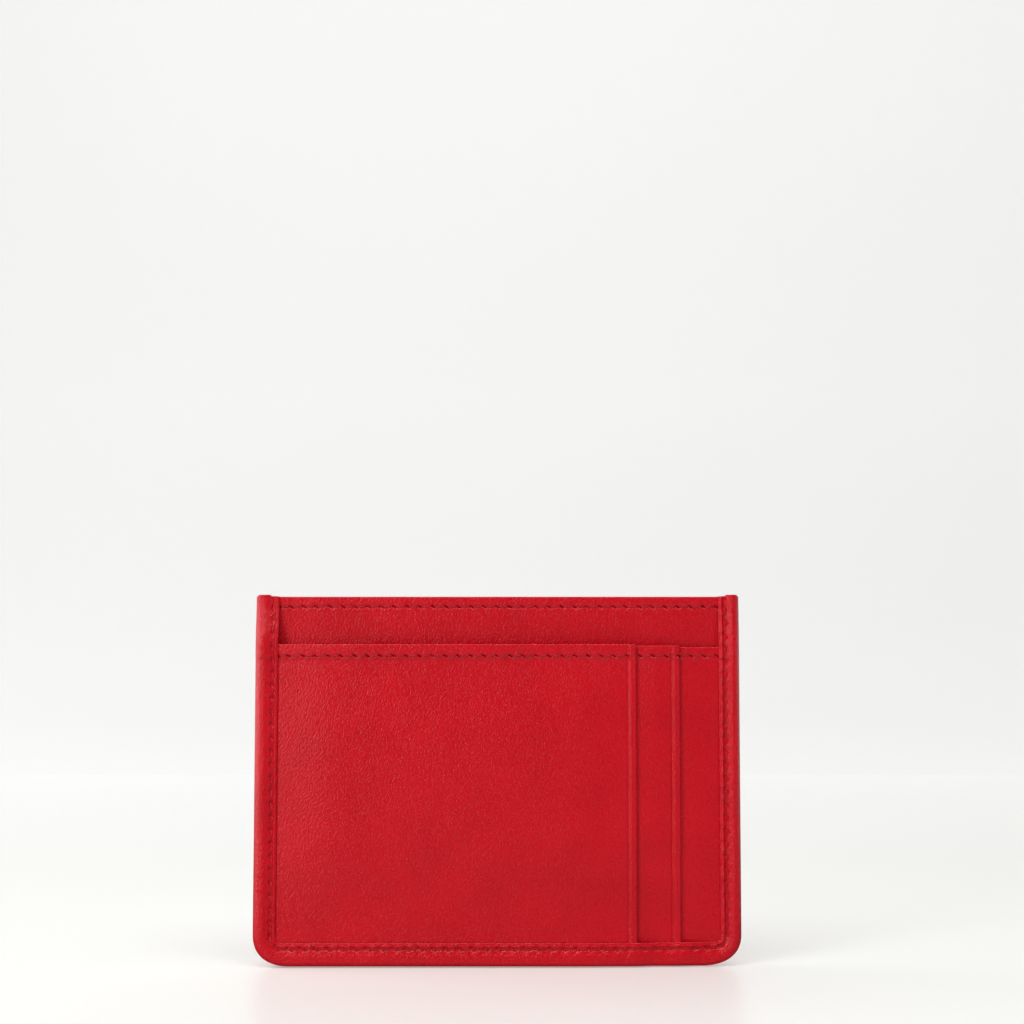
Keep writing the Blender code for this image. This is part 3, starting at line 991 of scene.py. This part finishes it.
def add_stiffener():
    half = PANEL_HALF - BOARD_CLEAR
    columns = lines(-half, half, BOARD_STEP)
    rows = lines(HIDDEN_MARGIN + BOARD_CLEAR, TOP - BOARD_FROM_TOP, BOARD_STEP)
    x, z = np.meshgrid(columns, rows)
    front = outer_inside(x, z) + LINING + GLUE
    made = sheet("outer_stiffener_board", columns, rows, front, front + BOARD, BOARD_FIBRE)
    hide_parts("outer_stiffener")


def raised(level, depth):
    """The same level, this much further from the pocket side."""
    return lambda x, z: level(x, z) + depth


def bent_line(corners, steps):
    """Evenly stepped points along straight runs between corners."""
    points = [corners[0]]
    for start, end in zip(corners, corners[1:]):
        for step in range(1, steps + 1):
            share = step / steps
            points.append((start[0] + (end[0] - start[0]) * share, start[1] + (end[1] - start[1]) * share))
    return np.array(points)


def add_filler(node, right, top, ahead, behind, has_right_leg):
    """The strip in a pocket's sewn margin, filling what the seam leaves between two layers."""
    side = PANEL_HALF - MARGIN_CLEAR
    inside = HALF_WIDTH - LIP_RIGHT - LIP_CLEAR
    foot = HIDDEN_MARGIN + MARGIN_CLEAR
    inside_foot = LIP_FOOT + LIP_CLEAR
    outer = [(-side, top), (-side, foot), (right, foot)]
    inner = [(-inside, top), (-inside, inside_foot), (right, inside_foot)]
    if has_right_leg:
        outer += [(right, top)]
        inner = inner[:2] + [(inside, inside_foot), (inside, top)]
    rings = []
    for x, z in (bent_line(outer, FILLER_STEPS).T, bent_line(inner, FILLER_STEPS).T):
        front = ahead(x, z)
        back = behind(x, z)
        half = np.maximum((back - front) / 2 - FILLER_CLEAR, FILLER_CLEAR)
        middle = (front + back) / 2
        rings += [np.stack([x, middle - half, z], -1), np.stack([x, middle + half, z], -1)]
    outer_front, outer_back_edge, inner_front, inner_back = rings
    section = np.stack([outer_front, inner_front, inner_back, outer_back_edge], 1)
    count = len(section)
    faces = list(grid_faces(count, 4, wrap=True))
    faces.append(np.arange(4))
    faces.append(np.arange(4 * count - 4, 4 * count)[::-1])
    made = new_object(node + "_strip", section.reshape(-1, 3), faces, BOARD_FIBRE, smooth=False)
    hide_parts(node)


def add_fillers():
    side = PANEL_HALF - MARGIN_CLEAR
    pinched = POCKET_SEAM - SHORT_OF_SEAM
    front_end = FRONT_MOUTH - SHORT_OF_MOUTH
    middle_end = MIDDLE_MOUTH - SHORT_OF_MOUTH
    slip_top = SLIP_TOP - SHORT_OF_POCKET_TOP
    lined = POCKET_LEATHER + GLUE + LINING
    centre_lined = PANEL_LEATHER + GLUE + HEM_TURN + LINING
    fillers = (
        ("front_slot_filler", front_end, pinched, front_front, lined, middle_front, False),
        ("middle_slot_filler", middle_end, pinched, middle_front, lined, slip_front, False),
        ("slip_pocket_filler", side, slip_top, slip_front, lined, centre_front, True),
        ("main_pocket_filler", side, TOP - SHORT_OF_TOP, centre_front, centre_lined, outer_inside, True),
    )
    for node, right, top, level, thick, behind, has_right_leg in fillers:
        add_filler(node, right, top, raised(level, thick), behind, has_right_leg)


# ---- threads


def tube(path, radius, sides=8):
    """Rings of a thread with closed, tapered ends along a path of points."""
    path = np.asarray(path)
    tangent = np.gradient(path, axis=0)
    tangent /= np.linalg.norm(tangent, axis=1)[:, None]
    up = np.tile(np.array([0.0, 1.0, 0.0]), (len(path), 1))
    side = np.cross(tangent, up)
    side /= np.linalg.norm(side, axis=1)[:, None]
    up = np.cross(side, tangent)
    taper = np.ones(len(path))
    taper[0] = taper[-1] = THREAD_TIP
    angle = np.arange(sides) * 2 * math.pi / sides
    around = np.cos(angle)[None, :, None] * side[:, None, :] + np.sin(angle)[None, :, None] * up[:, None, :]
    return path[:, None, :] + around * (radius * taper)[:, None, None]


def add_threads(name, node, paths):
    """All the stitches of one seam as one piece."""
    vertices = []
    faces = []
    for path in paths:
        rings = tube(path, THREAD_RADIUS)
        start = sum(len(v) for v in vertices)
        count, sides = rings.shape[:2]
        vertices.append(rings.reshape(-1, 3))
        faces += list(grid_faces(count, sides, start, wrap=True))
        faces.append(start + np.arange(sides)[::-1])
        faces.append(start + (count - 1) * sides + np.arange(sides))
    made = new_object(name, np.concatenate(vertices), faces, THREAD)
    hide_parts(node)


def stitch_arch(steps=9):
    """Share of the way from hole to hole and the thread's height there: it dives at both ends."""
    t = np.linspace(0.0, 1.0, steps)
    lift = ease(np.minimum(t, 1 - t) / DIVE_SHARE)
    return t, lift


def straight_threads(seam, height, level, outward):
    """Stitches of a level seam across a panel; outward is -1 on pocket-side faces."""
    t, lift = stitch_arch()
    for (s0, v0), (s1, v1) in seam.threads():
        x = s0 + (s1 - s0) * t - STITCHED_HALF
        z = height - (v0 + (v1 - v0) * t)
        y = level(x, z) + outward * (HEM_LIFT * lift - THREAD_SUNK - THREAD_DIVE * (1 - lift))
        yield np.stack([x, y, z], -1)


def pocket_top_level(x, z):
    """The uppermost pocket layer at each place along the pocket seam."""
    first = front_front(x, z)
    second = middle_front(x, z)
    third = slip_front(x, z)
    level = np.where(x < FRONT_MOUTH, first, second)
    return np.where(x < MIDDLE_MOUTH, level, third)


def add_border_threads(border):
    """The seam's threads on both lips of the binding."""
    t, lift = stitch_arch()
    step = 0.05
    clear = 0.4
    front = []
    back = []
    for (s0, v0), (s1, v1) in border.seam.threads():
        if s0 < clear or s1 > border.length - clear:
            continue
        along = s0 + (s1 - s0) * t
        x, z, slope = border.seam_line(along)
        before_x, before_z, _ = border.seam_line(along - step)
        after_x, after_z, _ = border.seam_line(along + step)
        across = (v0 + (v1 - v0) * t) * slope
        cx = x - (after_z - before_z) / (2 * step) * across
        cz = z + (after_x - before_x) / (2 * step) * across
        sunk = THREAD_DIVE * (1 - lift) - BORDER_LIFT * lift
        bed = border.read(border.valleys, along) * bump(across, VALLEY_WIDTH) + sunk
        front.append(np.stack([cx, sewn_level(x, z) - GLUE - LIP_LEATHER + bed, cz], -1))
        back.append(np.stack([cx, SEWN_BACK + GLUE + LIP_LEATHER - bed, cz], -1))
    add_threads("border_needle_stitches", "border_needle_thread", front)
    add_threads("border_bobbin_stitches", "border_bobbin_thread", back)


# ---- studio

CAMERA_RIGHT = 0.0030
CAMERA_DISTANCE = 0.400
CAMERA_HEIGHT = 0.0646
CAMERA_TILT = math.radians(4.05)
LENS = 67.99

# Paper, in metres: its colour near and far, how much it glows, and over what depth or height that changes
FLOOR_TONE = (0.615, 0.62, 0.60)
WALL_TONE = (0.612, 0.612, 0.607)
FLOOR_GLOW = 0.48
FAR_GLOW = 0.81
WALL_GLOW = 0.09
GLOW_DEPTH = (0.20, 0.84)
GLOW_RISE = (0.05, 0.25)
EDGE_GLOW = 0.85
EDGE_REACH = (0.5, 1.3)
FLOOR_DEPTH = 0.6
PAPER_HALF = 2.5
QUIET_HALF = 0.25
WALL_SWEEP = 0.6
WALL_STEPS = 12
WALL_TOP = 2.4
MOTTLE = 0.02

WORLD_DIM = 0.004
WORLD_SEEN = 0.91

# An area light's power over its area and radiance
POWER_PER_RADIANCE = 4

# Name, azimuth, elevation, width and height in degrees as seen from the holder, and radiance
SOFTBOXES = (
    ("left_softbox", -42, 22, 20, 50, 2.75),
    ("left_rim_softbox", -82, 22, 20, 50, 0.65),
    ("left_back_softbox", -105, 22, 24, 50, 2.5),
    ("right_rim_softbox", 80, 22, 26, 50, 0.58),
    ("top_softbox", 0, 62, 60, 30, 3.1),
)


def look_at(obj, place, target):
    obj.location = place
    obj.rotation_euler = (Vector(target) - Vector(place)).to_track_quat("-Z", "Y").to_euler()


def add_camera():
    """In front of the pocket side, a little above its middle and tipped slightly up."""
    data = bpy.data.cameras.new("camera")
    data.sensor_width = 36.0
    data.lens = LENS
    data.clip_start = 0.01
    camera = bpy.data.objects.new("camera", data)
    bpy.context.scene.collection.objects.link(camera)
    place = Vector((CAMERA_RIGHT, -CAMERA_DISTANCE, CAMERA_HEIGHT))
    ahead = Vector((0.0, math.cos(CAMERA_TILT), math.sin(CAMERA_TILT)))
    look_at(camera, place, place + ahead)
    bpy.context.scene.camera = camera


def paper_material():
    """Pale satin paper, faintly mottled, with light coming through it: more at the back and on the wall.

    Its far edges are evened out for the camera only, so they stay pale without lighting the leather.
    """
    paper, tree, surface = new_material("paper")
    where = add_node(tree, "TexCoord")
    parts = add_node(tree, "SeparateXYZ")
    tree.links.new(where.outputs["Object"], parts.inputs["Vector"])
    far = ranged(tree, parts.outputs["Y"], 0.0, 1.0, *GLOW_DEPTH)
    high = ranged(tree, parts.outputs["Z"], 0.0, WALL_GLOW, *GLOW_RISE)
    mottle = texture(tree, "Noise", where.outputs["Object"], Scale=3.0, Detail=2.0)
    tone = mixed(tree, far, FLOOR_TONE, WALL_TONE)
    colour = mixed(tree, ranged(tree, mottle.outputs["Fac"], 0.0, MOTTLE), tone, (1.0, 1.0, 1.0))
    tree.links.new(colour, surface.inputs["Base Color"])
    tree.links.new(colour, surface.inputs["Emission Color"])
    near_to_far = ranged(tree, far, FLOOR_GLOW, FAR_GLOW)
    across = combined(tree, "ABSOLUTE", parts.outputs["X"], 0.0)
    ahead = combined(tree, "MULTIPLY", parts.outputs["Y"], -1.0)
    outward = ranged(tree, combined(tree, "MAXIMUM", across, ahead), 0.0, EDGE_GLOW, *EDGE_REACH)
    seen = add_node(tree, "LightPath").outputs["Is Camera Ray"]
    near_to_far = combined(tree, "ADD", near_to_far, combined(tree, "MULTIPLY", outward, seen))
    tree.links.new(combined(tree, "ADD", near_to_far, high), surface.inputs["Emission Strength"])
    surface.inputs["Roughness"].default_value = 0.34
    surface.inputs["Specular IOR Level"].default_value = 0.08
    return paper


def add_backdrop(name, left_x, right_x, profile, paper):
    """A strip of paper from left to right through (y, z) points."""
    bm = bmesh.new()
    left = [bm.verts.new((left_x, y, z)) for y, z in profile]
    right = [bm.verts.new((right_x, y, z)) for y, z in profile]
    for i in range(len(profile) - 1):
        bm.faces.new((left[i], right[i], right[i + 1], left[i + 1]))
    mesh = bpy.data.meshes.new(name)
    bm.to_mesh(mesh)
    bm.free()
    mesh.shade_smooth()
    mesh.materials.append(paper)
    made = bpy.data.objects.new(name, mesh)
    bpy.context.scene.collection.objects.link(made)
    return made


def add_floor():
    """A wide pale floor that curves up far behind the holder; its middle isn't mirrored in the leather."""
    wall = [(FLOOR_DEPTH, 0.0)]
    for step in range(1, WALL_STEPS + 1):
        angle = math.pi / 2 * step / WALL_STEPS
        wall.append((FLOOR_DEPTH + WALL_SWEEP * math.sin(angle), WALL_SWEEP * (1 - math.cos(angle))))
    wall.append((FLOOR_DEPTH + WALL_SWEEP, WALL_TOP))
    paper = paper_material()
    flat = [(-PAPER_HALF, 0.0), (FLOOR_DEPTH, 0.0)]
    add_backdrop("floor_left", -PAPER_HALF, -QUIET_HALF, flat, paper)
    add_backdrop("floor_right", QUIET_HALF, PAPER_HALF, flat, paper)
    middle = add_backdrop("floor_middle", -QUIET_HALF, QUIET_HALF, flat, paper)
    middle.visible_glossy = False
    add_backdrop("wall", -PAPER_HALF, PAPER_HALF, wall, paper)


def add_world():
    """Dim all round, so the leather has little to mirror; plain white where the camera looks past."""
    world = bpy.data.worlds.new("studio")
    world.use_nodes = True
    tree = world.node_tree
    background = tree.nodes["Background"]
    background.inputs["Color"].default_value = (1.0, 1.0, 0.985, 1.0)
    path = add_node(tree, "LightPath")
    seen = ranged(tree, path.outputs["Is Camera Ray"], WORLD_DIM, WORLD_SEEN)
    tree.links.new(seen, background.inputs["Strength"])
    bpy.context.scene.world = world


def add_softbox(name, azimuth, elevation, wide, high, radiance):
    """A softbox a metre from the holder and square on to it; azimuth is from the camera's side."""
    a = math.radians(azimuth)
    e = math.radians(elevation)
    middle = Vector((0.0, 0.0, EAR_TOP / 2 * MM))
    place = middle + Vector((math.cos(e) * math.sin(a), -math.cos(e) * math.cos(a), math.sin(e)))
    data = bpy.data.lights.new(name, "AREA")
    data.shape = "RECTANGLE"
    data.size = 2 * math.tan(math.radians(wide / 2))
    data.size_y = 2 * math.tan(math.radians(high / 2))
    data.energy = POWER_PER_RADIANCE * data.size * data.size_y * radiance
    lamp = bpy.data.objects.new(name, data)
    bpy.context.scene.collection.objects.link(lamp)
    look_at(lamp, place, middle)


def add_studio():
    add_camera()
    add_floor()
    add_world()
    for softbox in SOFTBOXES:
        add_softbox(*softbox)
    bpy.context.scene.view_settings.view_transform = "Standard"


# ---- the holder


def build():
    border = Border()
    add_binding(border)
    pocket_seam = Seam(HEM_SPAN, HEM_HOLE, HEM_PUFF, 2)
    hem_seam = Seam(HEM_SPAN, HEM_HOLE, HEM_PUFF, 3)
    outer_seam = Seam(HEM_SPAN, HEM_HOLE, HEM_PUFF, 4)
    pockets = (
        ("slip_pocket_leather", "slip_pocket_panel", None, SLIP_TOP, slip_front, 41, 1.0),
        ("middle_slot_leather", "middle_slot_panel", MIDDLE_MOUTH, MIDDLE_TOP, middle_front, 43, 1.7),
        ("front_slot_leather", "front_slot_panel", FRONT_MOUTH, FRONT_TOP, front_front, 47, 1.0),
    )
    for name, node, mouth, top, level, seed, pressed in pockets:
        add_pocket_panel(name, node, mouth, top, level, pocket_seam, seed, pressed)
    add_centre_panel(hem_seam)
    add_outer_panel(outer_seam)
    add_linings()
    add_stiffener()
    add_fillers()
    add_border_threads(border)
    slip_back = raised(slip_front, POCKET_LEATHER + TURN)
    centre_back = raised(centre_front, PANEL_LEATHER + HEM_TURN + GLUE + LINING)
    level_seams = (
        (pocket_seam, "pocket_needle", POCKET_SEAM, pocket_top_level, -1),
        (pocket_seam, "pocket_bobbin", POCKET_SEAM, slip_back, 1),
        (hem_seam, "centre_hem_needle", HEM_SEAM, centre_front, -1),
        (hem_seam, "centre_hem_bobbin", HEM_SEAM, centre_back, 1),
        (outer_seam, "outer_hem_needle", HEM_SEAM, outer_back, 1),
        (outer_seam, "outer_hem_bobbin", HEM_SEAM, outer_inside, -1),
    )
    for seam, name, height, level, outward in level_seams:
        threads = list(straight_threads(seam, height, level, outward))
        add_threads(name + "_stitches", name + "_thread", threads)


build()
add_studio()
